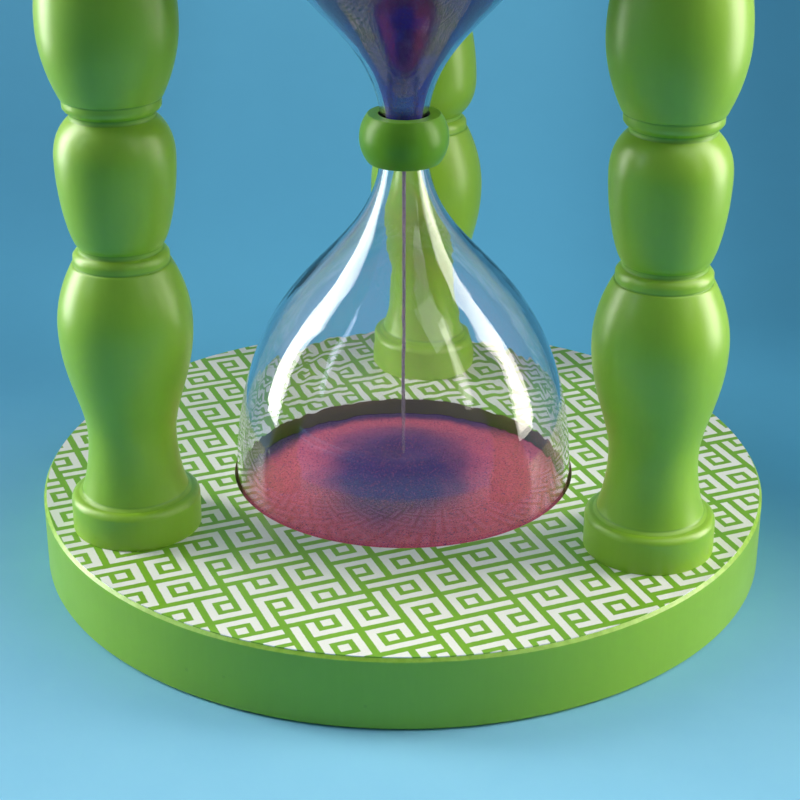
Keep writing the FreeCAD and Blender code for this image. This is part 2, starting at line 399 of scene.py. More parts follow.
def ramped(value, low, high, lowOut=0.0, highOut=1.0):
    return put(value.id_data, "ShaderNodeMapRange", {
        "Value": value, "From Min": low, "From Max": high, "To Min": lowOut, "To Max": highOut},
        interpolation_type="SMOOTHSTEP").outputs["Result"]


def mixed(share, first, second, blend="MIX"):
    return put(share.id_data, "Mix", {0: share, 6: first, 7: second},
               data_type="RGBA", blend_type=blend).outputs[2]


def mixedTones(share, first, second):
    return mixed(share, tone(first), tone(second))


def shaderMix(share, first, second):
    return out(share.id_data, "MixShader", {0: share, 1: first, 2: second})


def rayKinds(tree):  # all kinds, then the two that reach the eye through glass or off a gloss
    path = put(tree, "LightPath").outputs
    return path, larger(path["Is Glossy Ray"], path["Is Transmission Ray"])


def bump(height, depth, strength=1.0):
    return out(height.id_data, "Bump", {"Height": height, "Distance": depth, "Strength": strength})


def newFinish(name):
    finish = bpy.data.materials.new(name)
    finish.use_nodes = True
    return finish, finish.node_tree, finish.node_tree.nodes["Principled BSDF"]


def dress(skin, values):
    for name, value in values.items():
        feed(skin.inputs[name], value)


def show(shader):
    feed(shader.id_data.nodes["Material Output"].inputs["Surface"], shader)


coatSettings = {  # noises have a scale, detail and roughness; ranges are where a mask fades
    # ridges take thin paint: worn edges, lightened further as a painted highlight
    "ridgeFold": (0.25, 0.95), "breaks": (420.0, 3.0, 0.6), "breakRange": (0.3, 0.7),
    # creases take painted shade: pooled paint darkens them
    "creaseFold": (0.08, 0.6), "creaseRoughness": 0.15,
    "clouds": (55.0, 3.0, 0.55), "cloudRange": (0.3, 0.7), "cloudRoughness": (0.32, 0.36),
    "grain": ((700.0, 700.0, 55.0), 3.0, 0.6), "grainRange": (0.35, 0.75),
    "pitScale": 210.0, "pitFrom": 0.965, "pitEdge": (0.16, 0.03), "pitTone": (0.02, 0.05, 0.01, 1),
    "shares": {"streak": 0.04, "ridge": 0.75, "crease": 0.8, "pit": 0.7},
    "skin": (1300.0, 2.0, 0.5),
    "heights": {"skin": 0.35, "grain": 0.15, "pit": 4.0},
    "relief": 0.00004,
}


@nodeGroup("Shader", {"Color": "Paint, Thin Paint, Pooled Paint", "Float": "Mottle, Pits"},
           {"Color": "Colour", "Float": "Roughness, Height"})
def paintCoat(tree, given):
    s, share, high = coatSettings, coatSettings["shares"], coatSettings["heights"]
    spot = objectPlace(tree)
    fold = put(tree, "Attribute", attribute_name="fold").outputs["Fac"]
    broken, cloudy, grain, skin = (noise(spot, *s[key])
                                   for key in ("breaks", "clouds", "grain", "skin"))
    # ridges: paint worn thin on edges, partly a painted highlight
    ridge = times(ramped(fold, *s["ridgeFold"]), ramped(broken, *s["breakRange"]))
    # painted shade: darker paint in the turning's creases, where shade falls
    crease = ramped(times(fold, -1.0), *s["creaseFold"])
    clouds = ramped(cloudy, *s["cloudRange"])
    cell = put(tree, "TexVoronoi", {"Vector": spot, "Scale": s["pitScale"],
                                    "Randomness": 1.0}).outputs
    pick = out(tree, "SeparateColor", {0: cell["Color"]})
    chosen = calc("GREATER_THAN", pick, s["pitFrom"])
    pit = times(times(chosen, given["Pits"]), ramped(cell["Distance"], *s["pitEdge"]))
    colour = mixed(times(clouds, given["Mottle"]), given["Paint"], given["Pooled Paint"])
    streak = ramped(grain, *s["grainRange"], 0.0, share["streak"])
    # thin paint on ridges is partly a painted highlight; pooled paint in creases is painted shade
    for amount, paint in ((streak, given["Thin Paint"]),
                          (times(ridge, share["ridge"]), given["Thin Paint"]),
                          (times(crease, share["crease"]), given["Pooled Paint"]),
                          (times(pit, share["pit"]), s["pitTone"])):
        colour = mixed(amount, colour, paint)
    roughness = plus(ramped(clouds, 0.0, 1.0, *s["cloudRoughness"]),
                     times(crease, s["creaseRoughness"]))
    height = plus(times(skin, high["skin"]), times(grain, high["grain"]))
    return colour, roughness, minus(height, times(pit, high["pit"]))


paintSettings = {
    # pooled paint: darker paint for the mottle, and painted shade in creases
    # thin paint: lighter paint for grain streaks, and partly a painted highlight on ridges
    "framePaint": {"paint": "8DBC2A", "thinPaint": "B5DD58", "pooledPaint": "679C24",
                   "mottle": 0.14, "pits": 0.25, "shine": 0.62},
    "ringPaint": {"paint": "649A26", "thinPaint": "93BE58", "pooledPaint": "4A7C1E",
                  "mottle": 0.35, "pits": 0.2, "shine": 0.25},
}


def paintFinish(name):
    finish, tree, skin = newFinish(name)
    values = {key: tone(value) if isinstance(value, str) else value
              for key, value in paintSettings[name].items()}
    shine = values.pop("shine")
    coat = useGroup(tree, paintCoat, **values)
    dress(skin, {"Base Color": coat["Colour"], "Roughness": coat["Roughness"],
                 "Specular IOR Level": shine,
                 "Normal": bump(coat["Height"], coatSettings["relief"])})
    return finish


hollowShadeSettings = {
    "grain": ((60.0, 700.0, 700.0), 3.0, 0.6),
    "outerFace": 1.0,  # depth under a plate's outer face that keeps its paint
}


def shadeHollow(finish, edge, hollowShade, hollowShadeGrain):  # darker tones in a hollow round the axis: bare wood darkened with painted shade in a plate's recess, painted shade alone in the ring's bore
    tree, s = finish.node_tree, hollowShadeSettings
    spot = objectPlace(tree)
    x, y, z = axesOf(spot)
    base = tree.nodes["Principled BSDF"].inputs["Base Color"]
    painted = base.links[0].from_socket
    # tones of the hollow, darkened as painted shade
    shadedHollowTone = mixedTones(noise(spot, *s["grain"]), hollowShade, hollowShadeGrain)
    depth = calc("ABSOLUTE", minus(z, middle * mm))
    inside = times(calc("LESS_THAN", offAxis(x, y), edge * mm),
                   calc("LESS_THAN", depth, (middle - s["outerFace"]) * mm))
    feed(base, mixed(inside, painted, shadedHollowTone))


framePaint = paintFinish("framePaint")
platePaint = paintFinish("framePaint")
platePaint.name = "platePaint"
ringPaint = paintFinish("ringPaint")


# Printed sheets: a fret of squared keys that repeats on a slanted square lattice

fretSettings = {
    "unit": 0.0019179,       # width of one step of the fret
    "turn": 27.41,           # degrees from +X
    "centre": (-0.00408, 0.01942),
    "barHalf": 0.532,        # in steps, like the sizes below
    "squareHalf": 0.703,
    "longEnd": 7.54,
    "shortEnd": 3.71,
    "softness": 0.09,
    "repeat": (12.0, 4.0),   # steps along and across from one motif to the next
    "wander": (900.0, 0.0002),  # scale and size of the print's unsteady edge
    "ink": ("7FB52E", "6DA328"), "inkClouds": (120.0, 3.0, 0.6), "inkFade": (0.3, 0.7, 0.0, 0.35),
    "paper": ("F2F2F0", "D8D9D2"), "fibre": (2600.0, 3.0, 0.7), "paperFade": (0.3, 0.75, 0.0, 0.3),
    "roughness": (0.42, 0.55),  # of the ink and of the paper
    "inkHeight": -0.4,
    "relief": 0.00002,
}


@nodeGroup("Shader", {"Float": "X, Y, Left, Right, Bottom, Top, Softness"}, {"Float": "Mask"})
def softBox(tree, given):
    shares = []
    for axis, low, high in (("X", "Left", "Right"), ("Y", "Bottom", "Top")):
        inside = calc("MINIMUM", minus(given[axis], given[low]), minus(given[high], given[axis]))
        shares.append(calc("ADD", calc("DIVIDE", inside, given["Softness"]), 0.5, clamp=True))
    return times(*shares)


@nodeGroup("Shader", {"Float": "X, Y"}, {"Float": "Mask"})
def keyMotif(tree, given):
    s = fretSettings
    across, along = (calc("ABSOLUTE", given[axis]) for axis in ("X", "Y"))
    swap = calc("GREATER_THAN", times(given["X"], given["Y"]), 0.0)
    gap = times(swap, minus(along, across))
    x, y = plus(across, gap), minus(along, gap)
    h, q = s["barHalf"], s["squareHalf"]
    bars = [(1 - h, 1 + h, 1 - h, 5 + h), (1 - h, 5 + h, 1 - h, 1 + h),
            (1 - h, s["longEnd"], 5 - h, 5 + h), (5 - h, 5 + h, 1 - h, s["shortEnd"]),
            (3 - q, 3 + q, 3 - q, 3 + q)]
    mask = 0.0
    for left, right, bottom, top in bars:
        mask = larger(useGroup(tree, softBox, x=x, y=y, left=left, right=right,
                               bottom=bottom, top=top, softness=s["softness"])[0], mask)
    return mask


@nodeGroup("Shader", {"Vector": "Place"}, {"Float": "Mask"})
def keyPattern(tree, given):
    s = fretSettings
    a, b = s["repeat"]
    centred = vectorCalc("SUBTRACT", given["Place"], (*s["centre"], 0))
    rotated = out(tree, "VectorRotate",
                  {"Vector": centred, "Angle": -math.radians(s["turn"])}, rotation_type="Z_AXIS")
    steps = axesOf(vectorCalc("MULTIPLY", rotated, (1 / s["unit"],) * 3))

    def blended(first, firstShare, second, secondShare):
        return plus(times(first, firstShare), times(second, secondShare))

    def wrapped(x, y):  # share of the way from one motif to the next
        return calc("FLOORED_MODULO", times(
            blended(steps[0], x, steps[1], y), 1 / (a * a + b * b)), 1.0)

    shareA, shareB = wrapped(a, b), wrapped(-b, a)
    foldedX, foldedY = blended(shareA, a, shareB, -b), blended(shareA, b, shareB, a)
    mask = 0.0
    for cornerX, cornerY in ((0.0, 0.0), (a, b), (-b, a), (a - b, a + b)):
        key = useGroup(tree, keyMotif, x=minus(foldedX, cornerX), y=minus(foldedY, cornerY))[0]
        mask = larger(key, mask)
    return mask


def sheetFinish(name, mirror):
    finish, tree, skin = newFinish(name)
    s = fretSettings
    scale, size = s["wander"]
    spot = vectorCalc("MULTIPLY", objectPlace(tree), (mirror, 1, 1))
    wander = put(tree, "ShaderNodeTexNoise", {"Vector": spot, "Scale": scale, "Detail": 1.0})
    drift = vectorCalc("MULTIPLY", vectorCalc(
        "SUBTRACT", wander.outputs["Color"], (0.5, 0.5, 0.5)), (size, size, 0))
    mask = useGroup(tree, keyPattern, place=vectorCalc("ADD", spot, drift))[0]
    fibre = noise(spot, *s["fibre"])
    inkShare = ramped(noise(spot, *s["inkClouds"]), *s["inkFade"])
    ink = mixedTones(inkShare, *s["ink"])
    paper = mixedTones(ramped(fibre, *s["paperFade"]), *s["paper"])
    height = plus(fibre, times(mask, s["inkHeight"]))
    dress(skin, {"Base Color": mixed(mask, ink, paper),
                 "Roughness": ramped(mask, 0.0, 1.0, *s["roughness"]),
                 "Normal": bump(height, s["relief"])})
    return finish


def refinish(node, finish):
    materials = cadNodes[node].data.materials
    materials.clear()
    materials.append(finish)


for node, mirror in (("base_sheet", 1.0), ("top_sheet", -1.0)):
    refinish(node, sheetFinish(node + "_print", mirror))
print("finishes made")


# Plates: turned boards with a recess, drilled from outside for the screws and their plugs

plateSettings = {
    "thickness": 19.0,
    "recessDepth": 12.0,
    "recessRadius": 45.1,
    "edgeRound": 0.9,
    "turnSteps": 192,
    "holes": {"boreRadius": 5.05, "boreDepth": 5.0, "socketRadius": 8.05, "socketDepth": 8.0,
              "screwHoleRadius": 2.1, "screwHoleDepth": 15.0},
    # painted shade over the bare wood of the recess
    "hollowShade": ("5A5620", "3A3520"),
    "hollowShadeReach": 0.15,  # past the recess
}


def ringOfCopies(part, count, radius, firstAngle):
    tree = part.id_data
    circle = out(tree, "MeshCircle", {"Vertices": count, "Radius": radius})
    spots = out(tree, "MeshToPoints", {"Mesh": circle})
    turned = out(tree, "Transform", {"Geometry": spots, "Rotation": vectorOf(z=firstAngle)})
    return out(tree, "InstanceOnPoints", {"Points": turned, "Instance": part})


def together(*parts):
    join = put(parts[0].id_data, "JoinGeometry")
    for part in parts:
        feed(join.inputs[0], part)
    return join.outputs[0]


@nodeGroup("Geometry", {
    "Geometry": "Plate", "Float": "Circle Radius, First Angle, Outer Face, Inner Face, "
    "Bore Radius, Bore Depth, Socket Radius, Socket Depth, Screw Hole Radius, Screw Hole Depth",
    "Material": "Finish"}, {"Geometry": "Plate"})
def drilledPlate(tree, given):
    inward = calc("SIGN", minus(given["Inner Face"], given["Outer Face"]))
    spare = 0.001  # how far each drill stands out of the face

    def drill(hole, face, way):
        depth = given[hole + " Depth"]
        body = put(tree, "MeshCylinder", {
            "Vertices": 64, "Radius": given[hole + " Radius"], "Depth": plus(depth, spare)})
        reach = times(minus(depth, spare), 0.5)
        lift = vectorOf(z=plus(given[face], times(reach, way)))
        return out(tree, "Transform", {"Geometry": body.outputs["Mesh"], "Translation": lift})

    drills = together(drill("Bore", "Outer Face", inward),
                      drill("Screw Hole", "Outer Face", inward),
                      drill("Socket", "Inner Face", times(inward, -1.0)))
    tools = ringOfCopies(drills, 3, given["Circle Radius"], given["First Angle"])
    cut = put(tree, "MeshBoolean", {"Mesh 1": given["Plate"], "Mesh 2": solid(tools)},
              operation="DIFFERENCE", solver="EXACT")
    cut.inputs[2].default_value = True  # the three drills of a hole overlap each other
    smooth = useGroup(tree, easedShading, mesh=cut.outputs[0], creaseAngle=0.7)[0]
    return covered(smooth, given["Finish"])


# painted shade over the bare wood in the plates' recesses
shadeHollow(platePaint, plateSettings["recessRadius"] + plateSettings["hollowShadeReach"],
            *plateSettings["hollowShade"])
backLow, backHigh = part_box("spindle_back")
circleRadius = (backLow.y + backHigh.y) / 2


def plateOutline():
    s = plateSettings
    rim, top, recess = radiusOf("base_plate"), s["thickness"], s["recessRadius"]
    floor = top - s["recessDepth"]
    runs = discRuns(rim, 0, top, s["edgeRound"])[:4] + straights(
        (rim - s["edgeRound"], top), (recess, top), (recess, floor), (0, floor))
    return joined(runs, 0.15, 3.0)


def makePlate(name, node, outline, outerFace, innerFace):
    piece = turnedPiece(name, outline, platePaint, plateSettings["turnSteps"])
    holes = {key: size * mm for key, size in plateSettings["holes"].items()}
    grown(piece, drilledPlate, circleRadius=circleRadius, firstAngle=math.pi / 2,
          outerFace=outerFace * mm, innerFace=innerFace * mm, finish=platePaint, **holes)
    return settled(piece, "frame", "frame_paint", node)


thickness = plateSettings["thickness"]
makePlate("basePlate", "base_plate", plateOutline(), 0.0, thickness)
makePlate("topPlate", "top_plate", turnedOver(plateOutline()), 2 * middle, 2 * middle - thickness)
print("plates turned and drilled")


# Plugs: three to a plate, flush with its outer face

plugSettings = {"radius": 5.0, "length": 4.8, "edgeRound": 0.3, "turnSteps": 48}


@nodeGroup("Geometry", {
    "Geometry": "Part", "Int": "Count", "Float": "Circle Radius, First Angle",
    "Material": "Finish"}, {"Geometry": "Parts"})
def spacedRound(tree, given):
    parts = ringOfCopies(given["Part"], given["Count"], given["Circle Radius"],
                         given["First Angle"])
    return covered(parts, given["Finish"])


def plugOutline():
    s = plugSettings
    r, top = s["radius"], s["length"]
    return joined(discRuns(r, 0, top, s["edgeRound"])[:2] + straights(
        (r, s["edgeRound"]), (r, top), (0, top)), 0.1)


def makePlugs(name, end, outline):
    piece = turnedPiece(name, outline, framePaint, plugSettings["turnSteps"])
    grown(piece, spacedRound, count=3, circleRadius=circleRadius, firstAngle=math.pi / 2,
          finish=framePaint)
    nodes = [f"{end}_plug_{side}" for side in ("back", "left", "right")]
    return settled(piece, "frame", "frame_paint", *nodes)


makePlugs("basePlugs", "base", plugOutline())
makePlugs("topPlugs", "top", turnedOver(plugOutline()))


# Spindles: the same turning three times, one of them head down

spindleSettings = {
    "footRadius": 16.0, "footHeight": 9.6, "footRound": 1.9,
    "ledgeWidth": 1.0, "ledgeRise": 0.7,
    "waistRadius": 10.85, "waistHeight": 25.0, "waistFullness": 0.30,
    "vaseRadius": 16.2, "vaseFromMiddle": (37.4, 36.5), "vaseFullness": 0.45,
    "collarRadius": 11.5, "collarHeight": 3.6, "collarRound": 1.7, "vaseLip": 0.4,
    "collarFromMiddle": (17.9, 15.4),
    "grooveRadius": 10.0, "grooveHeight": 1.0,
    "barrelRadius": 14.15, "barrelFromMiddle": 4.5, "barrelFullness": (0.44, 0.55),
    "endSpread": 1.9, "endPull": 1.6,
    "tenonRadius": 8.0, "tenonLength": 7.8,
    "turnSteps": 112,
}


def endRuns(length, end):  # one end of a spindle up to its groove; end 0 is the foot, 1 the head
    s = spindleSettings
    foot, top, e = s["footRadius"], s["footHeight"], s["footRound"]
    ledge, ledgeTop = foot - e - s["ledgeWidth"], top + s["ledgeRise"]
    waist, waistAt = s["waistRadius"], s["waistHeight"]
    vase, vaseAt = s["vaseRadius"], length / 2 - s["vaseFromMiddle"][end]
    stem = vaseAt - waistAt
    collar, collarTop = s["collarRadius"], length / 2 - s["collarFromMiddle"][end]
    collarLow, collarTurn = collarTop - s["collarHeight"], collarTop - s["collarRound"]
    groove, lip = s["grooveRadius"], collar + s["vaseLip"]
    tenon, tip = s["tenonRadius"], -s["tenonLength"]
    return straights((0, tip), (tenon, tip), (tenon, 0), (foot, 0), (foot, top - e)) + [
        quarter((foot, top - e), (foot, top), (foot - e, top)),
        line((foot - e, top), (ledge, ledgeTop)),
        bend((ledge, ledgeTop), (waist, (ledgeTop + waistAt) / 2), (waist, waistAt))
        + bend((waist, waistAt), (waist, waistAt + s["waistFullness"] * stem),
               (vase, vaseAt - s["vaseFullness"] * stem), (vase, vaseAt))[1:]
        + bend((vase, vaseAt), (vase, (vaseAt + collarLow) / 2), (lip, collarLow))[1:],
        line((lip, collarLow), (collar, collarLow + s["vaseLip"] / 2)),
        line((collar, collarLow + s["vaseLip"] / 2), (collar, collarTurn))
        + bend((collar, collarTurn), (collar, (collarTurn + collarTop) / 2),
               (groove, collarTop))[1:],
        line((groove, collarTop), (groove, collarTop + s["grooveHeight"])),
    ]


def barrelRun(length):
    s = spindleSettings
    groove, barrel = s["grooveRadius"], s["barrelRadius"]
    low = length / 2 - s["collarFromMiddle"][0] + s["grooveHeight"]
    high = length / 2 + s["collarFromMiddle"][1] - s["grooveHeight"]
    widest, spread = length / 2 + s["barrelFromMiddle"], groove + s["endSpread"]
    lowPull, highPull = s["barrelFullness"]
    return (bend((groove, low), (spread, low + s["endPull"]),
                 (barrel, widest - lowPull * (widest - low)), (barrel, widest))
            + bend((barrel, widest), (barrel, widest + highPull * (high - widest)),
                   (spread, high - s["endPull"]), (groove, high))[1:])


def spindleOutline():
    foot, head = heightOf("base_sheet", 1), heightOf("top_sheet", 0)
    length = head - foot
    upper = [[Vector((p.x, length - p.y)) for p in reversed(run)]
             for run in reversed(endRuns(length, 1))]
    outline = joined(endRuns(length, 0) + [barrelRun(length)] + upper, 0.3, 0.9)
    return [Vector((p.x, p.y + foot)) for p in outline]


def makeSpindle(name, node, outline):
    low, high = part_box(node)
    place = ((low.x + high.x) / 2, (low.y + high.y) / 2, 0)
    piece = turnedPiece(name, outline, framePaint, spindleSettings["turnSteps"], place)
    return settled(piece, "frame", "frame_paint", node)


makeSpindle("leftSpindle", "spindle_left", spindleOutline())
makeSpindle("rightSpindle", "spindle_right", spindleOutline())
makeSpindle("backSpindle", "spindle_back", turnedOver(spindleOutline()))
print("spindles turned")


# Glass: two blown bulbs that meet at a small brass disc

glassSettings = {
    "wall": 1.3, "neckRadius": 5.7, "boreRadius": 4.4, "cornerRadius": 7.0,
    "fullness": (0.70, 0.38), "innerFullness": (0.66, 0.37),  # at the shoulder, at the neck
    "turnSteps": 192, "creaseAngle": 1.0,
    "striae": ((90.0, 90.0, 22.0), 2.0, 0.5), "relief": (0.0004, 0.35),
    "smudges": (160.0, 4.0, 0.6), "smudgeRoughness": (0.45, 0.8, 0.0, 0.05),
    "tint": (0.97, 0.985, 1.0, 1), "shadowTint": (0.93, 0.95, 0.96, 1), "IOR": 1.52,
}


def flank(radius, start, bore, end, fullness):
    height, (shoulder, neck) = end - start, fullness
    return bend((radius, start), (radius, start + shoulder * height),
                (bore, end - neck * height), (bore, end))


def bulbRuns():
    s = glassSettings
    radius, (bottom, end) = radiusOf("lower_bulb"), (heightOf("lower_bulb", k) for k in (0, 1))
    corner, wall, bore = s["cornerRadius"], s["wall"], s["boreRadius"]
    start, inside, floor = bottom + corner, radius - wall, bottom + wall
    inner = corner - wall
    return [
        line((0, bottom), (radius - corner, bottom)),
        quarter((radius - corner, bottom), (radius, bottom), (radius, start))
        + flank(radius, start, s["neckRadius"], end, s["fullness"])[1:],
        line((s["neckRadius"], end), (bore, end)),
        flank(inside, start, bore, end, s["innerFullness"])[::-1]
        + quarter((inside, start), (inside, floor), (inside - inner, floor))[1:],
        line((inside - inner, floor), (0, floor)),
    ]


def clearGlass():
    finish, tree, skin = newFinish("clearGlass")
    s, spot = glassSettings, objectPlace(tree)
    smudge = noise(spot, *s["smudges"])
    dress(skin, {"Roughness": ramped(smudge, *s["smudgeRoughness"]),
                 "Normal": bump(noise(spot, *s["striae"]), *s["relief"]),
                 "Base Color": s["tint"], "Transmission Weight": 1.0, "IOR": s["IOR"]})
    through = out(tree, "BsdfTransparent", {"Color": s["shadowTint"]})
    show(shaderMix(rayKinds(tree)[0]["Is Shadow Ray"], skin.outputs[0], through))
    return finish


glassFinish = clearGlass()
bulbOutline = joined(bulbRuns(), 0.12, 0.9)
for name, node, outline in (("lowerBulb", "lower_bulb", bulbOutline),
                            ("upperBulb", "upper_bulb", turnedOver(bulbOutline))):
    bulb = turnedPiece(name, outline, glassFinish, glassSettings["turnSteps"],
                       creaseAngle=glassSettings["creaseAngle"])
    settled(bulb, "frame", "clear_glass", node)
print("bulbs blown")


# Ring: a loose bead round the necks

ringSettings = {"boreRadius": 6.4, "faceWidth": 2.75, "bulge": 2.1, "edge": 0.12, "arcSteps": 48,
                # the bore's dark tones are painted shade
                "hollowShade": ("1E2810", "16200C"), "hollowShadeReach": 0.06}
shadeHollow(ringPaint, ringSettings["boreRadius"] + ringSettings["hollowShadeReach"],
            *ringSettings["hollowShade"])


def ringOutline():
    s = ringSettings
    low, high = heightOf("neck_ring", 0), heightOf("neck_ring", 1)
    half, bore, b = (low + high) / 2, s["boreRadius"], s["bulge"]
    face, reach = bore + s["faceWidth"], (high - low) / 2
    curve = (reach * reach + b * b) / (2 * b)  # radius of the arc through both edges
    centre, sweep = face + b - curve, math.asin(reach / curve)
    turns = [sweep * (2 * i / s["arcSteps"] - 1) for i in range(s["arcSteps"] + 1)]
    side = [Vector((centre + curve * math.cos(t), half + curve * math.sin(t))) for t in turns]
    return joined(straights((bore, half), (bore, low), (face, low)) + [side] + straights(
        (face, high), (bore, high), (bore, half)), s["edge"], 0.5)


settled(turnedPiece("neckRing", ringOutline(), ringPaint, 128), "ring", "ring_paint", "neck_ring")
print("ring turned")


# Sand: dyed grains, heaped below, funnelled above, and a thin stream between

sandSettings = {
    "fit": 0.15, "wallDrop": 4.0, "heapRise": 9.5, "dimpleRadius": 8.0, "dimpleDepth": 1.0,
    "crestWidth": 6.0, "skirtRadius": 26.7, "skirtRise": 3.3,
    "upperLevel": 64.0, "funnelDip": 20.0, "browRadius": 24.5, "browDrop": 5.0,
    "throatRadius": 13.3, "funnelFloor": 2.0, "funnelEdge": (1.5, 0.4), "dimpleFloor": 0.7,
    "turnSteps": 144,
    "grainSize": 0.00016, "grainDensity": 1.6e6, "unevenness": 0.0005,
    "upward": 0.3,  # least rise of a face that carries loose grains
    "waves": (130.0, 4.0, 0.6),
}


def bulbHollow():
    s, g = sandSettings, glassSettings
    gap = g["wall"] + s["fit"]
    bottom, end = (heightOf("lower_bulb", k) for k in (0, 1))
    inside, start = radiusOf("lower_bulb") - gap, bottom + g["cornerRadius"]
    side = flank(inside, start, g["boreRadius"] - s["fit"], end, g["innerFullness"])
    return inside, bottom + gap, g["cornerRadius"] - gap, start, side


def lowerSandOutline():
    s = sandSettings
    inside, floor, corner, start, side = bulbHollow()
    wallHeight = plateSettings["thickness"] - s["wallDrop"]
    rim = wallHeight + s["heapRise"]
    dimple = rim - s["dimpleDepth"]
    r, core = s["dimpleRadius"], s["dimpleFloor"]
    slope = bend((radiusOf("lower_bulb"), wallHeight),
                 (s["skirtRadius"], wallHeight + s["skirtRise"]), (r + s["crestWidth"], rim),
                 (r, rim))
    edge = next(p for p in side if p.y > wallHeight)
    slope = [Vector((edge.x, wallHeight))] + [p for p in slope if p.x < edge.x]
    return joined([
        line((0, floor), (inside - corner, floor)),
        quarter((inside - corner, floor), (inside, floor), (inside, start)),
        line((inside, start), (edge.x, wallHeight)), slope
        + bend((r, rim), (r / 2, rim), (r / 2, dimple), (core, dimple))[1:],
        line((core, dimple), (0, dimple))], 0.2, 0.7)


def upperSandOutline():
    s = sandSettings
    side = turnedOver(bulbHollow()[-1])
    wallHeight = middle + s["upperLevel"]
    bottom = wallHeight - s["funnelDip"]
    drop, clear = s["funnelEdge"]
    slope = bend((radiusOf("lower_bulb"), wallHeight),
                 (s["browRadius"], wallHeight - s["browDrop"]),
                 (s["throatRadius"], bottom), (s["funnelFloor"], bottom))
    filled = [p for p in side if p.y < wallHeight - drop]
    edge = filled[-1]
    slope = [edge] + [p for p in slope if p.x < edge.x - clear]
    return joined([line((0, side[0].y), side[0]), filled, slope, line(slope[-1], (0, bottom))],
                  0.1, 0.8)


def randomNumber(tree, low, high, seed):
    return put(tree, "FunctionNodeRandomValue", {2: low, 3: high, "Seed": seed},
               data_type="FLOAT").outputs[1]


def grainsOn(spots, radius, largest, sizeSeed, spinSeed):
    tree = spots.id_data
    grain = out(tree, "MeshUVSphere", {"Segments": 4, "Rings": 2, "Radius": radius})
    spin = out(tree, "FunctionNodeRandomValue", {
        0: (0, 0, 0), 1: (math.tau,) * 3, "Seed": spinSeed}, data_type="FLOAT_VECTOR")
    return out(tree, "InstanceOnPoints", {
        "Points": spots, "Instance": grain, "Rotation": spin,
        "Scale": randomNumber(tree, 0.5, largest, sizeSeed)})


@nodeGroup("Geometry", {
    "Geometry": "Sand", "Float": "Grain Size, Grain Density, Unevenness", "Int": "Seed",
    "Material": "Finish"}, {"Geometry": "Sand"})
def sandSurface(tree, given):
    s, seed = sandSettings, given["Seed"]
    upward = axesOf(out(tree, "InputNormal"))[2]
    onTop = out(tree, "FunctionNodeCompare", {0: upward, 1: s["upward"]},
                operation="GREATER_THAN", data_type="FLOAT")
    waves = noise(out(tree, "InputPosition"), *s["waves"])
    lift = times(minus(waves, 0.5), given["Unevenness"])
    uneven = out(tree, "SetPosition", {
        "Geometry": given["Sand"], "Selection": onTop, "Offset": vectorOf(z=lift)})
    spots = put(tree, "DistributePointsOnFaces", {
        "Mesh": uneven, "Selection": onTop, "Density": given["Grain Density"],
        "Seed": seed}).outputs["Points"]
    grains = grainsOn(spots, given["Grain Size"], 1.3, seed, seed)
    return covered(together(grains, uneven), given["Finish"])


@nodeGroup("Geometry", {
    "Geometry": "Core", "Int": "Count", "Float": "Bottom, Top, Spread, Grain Size",
    "Material": "Finish"}, {"Geometry": "Stream"})
def fallingGrains(tree, given):
    run = out(tree, "MeshLine", {
        "Count": given["Count"], "Start Location": vectorOf(z=given["Bottom"]),
        "Offset": vectorOf(z=given["Top"])}, mode="END_POINTS")
    reach = times(given["Spread"], calc("SQRT", randomNumber(tree, 0.0, 1.0, 8)))
    aside = roundAxis(reach, randomNumber(tree, 0.0, math.tau, 5))
    scattered = out(tree, "SetPosition", {"Geometry": run, "Offset": aside})
    spots = out(tree, "MeshToPoints", {"Mesh": scattered})
    grains = grainsOn(spots, given["Grain Size"], 1.2, 4, 6)
    return covered(together(grains, given["Core"]), given["Finish"])


dyeSettings = {
    "grainScale": 3300.0, "speckShare": 0.75, "shade": (0.78, 1.12), "relief": (0.0001, 0.8),
    "roughness": 0.75, "shine": 0.3,
    "rose": "BA4E6A", "violet": "330A5E", "plum": "461A62", "heapSpeck": "7A3460",
    "patchCentre": (-0.001, -0.009), "patchSize": (0.0210, 0.0245), "patchFade": (1.35, 0.5),
    "haloCentre": (-0.004, 0.012), "haloSize": (0.022, 0.016), "haloFade": (1.3, 0.3),
    "haloShare": 0.6,
    "ragged": (90.0, 4.0, 0.6), "raggedness": 0.6,
    # the violet streak by the back wall reaches round the left rim as painted shade
    "wallStreakAndShade": (0.033, 0.041), "streakRaggedness": 0.01, "streakAndShadeBehind": (0.008, 0.032),
    "bands": ((90.0, 90.0, 6.0), 3.0, 0.55), "bandFade": (0.45, 0.62),
    "bandTones": ("170F88", "320A60"),
    "broken": (700.0, 2.0, 0.5), "brokenTones": ("756A86", "867A90"), "streamSpeck": "9A7488",
}


@nodeGroup("Shader", {"Color": "Ground, Speck", "Float": "Speck Share"},
           {"Color": "Colour", "Float": "Height"})
def dyedGrains(tree, given):
    d = dyeSettings
    grain = put(tree, "TexVoronoi", {"Vector": objectPlace(tree), "Scale": d["grainScale"]}).outputs
    pick = put(tree, "SeparateColor", {0: grain["Color"]}).outputs
    speck = calc("LESS_THAN", pick[0], given["Speck Share"])
    shade = ramped(pick[1], 0.0, 1.0, *d["shade"])
    coloured = mixed(times(speck, d["speckShare"]), given["Ground"], given["Speck"])
    shaded = out(tree, "ShaderNodeVectorMath", {0: coloured, 3: shade}, operation="SCALE")
    return shaded, minus(1.0, grain["Distance"])


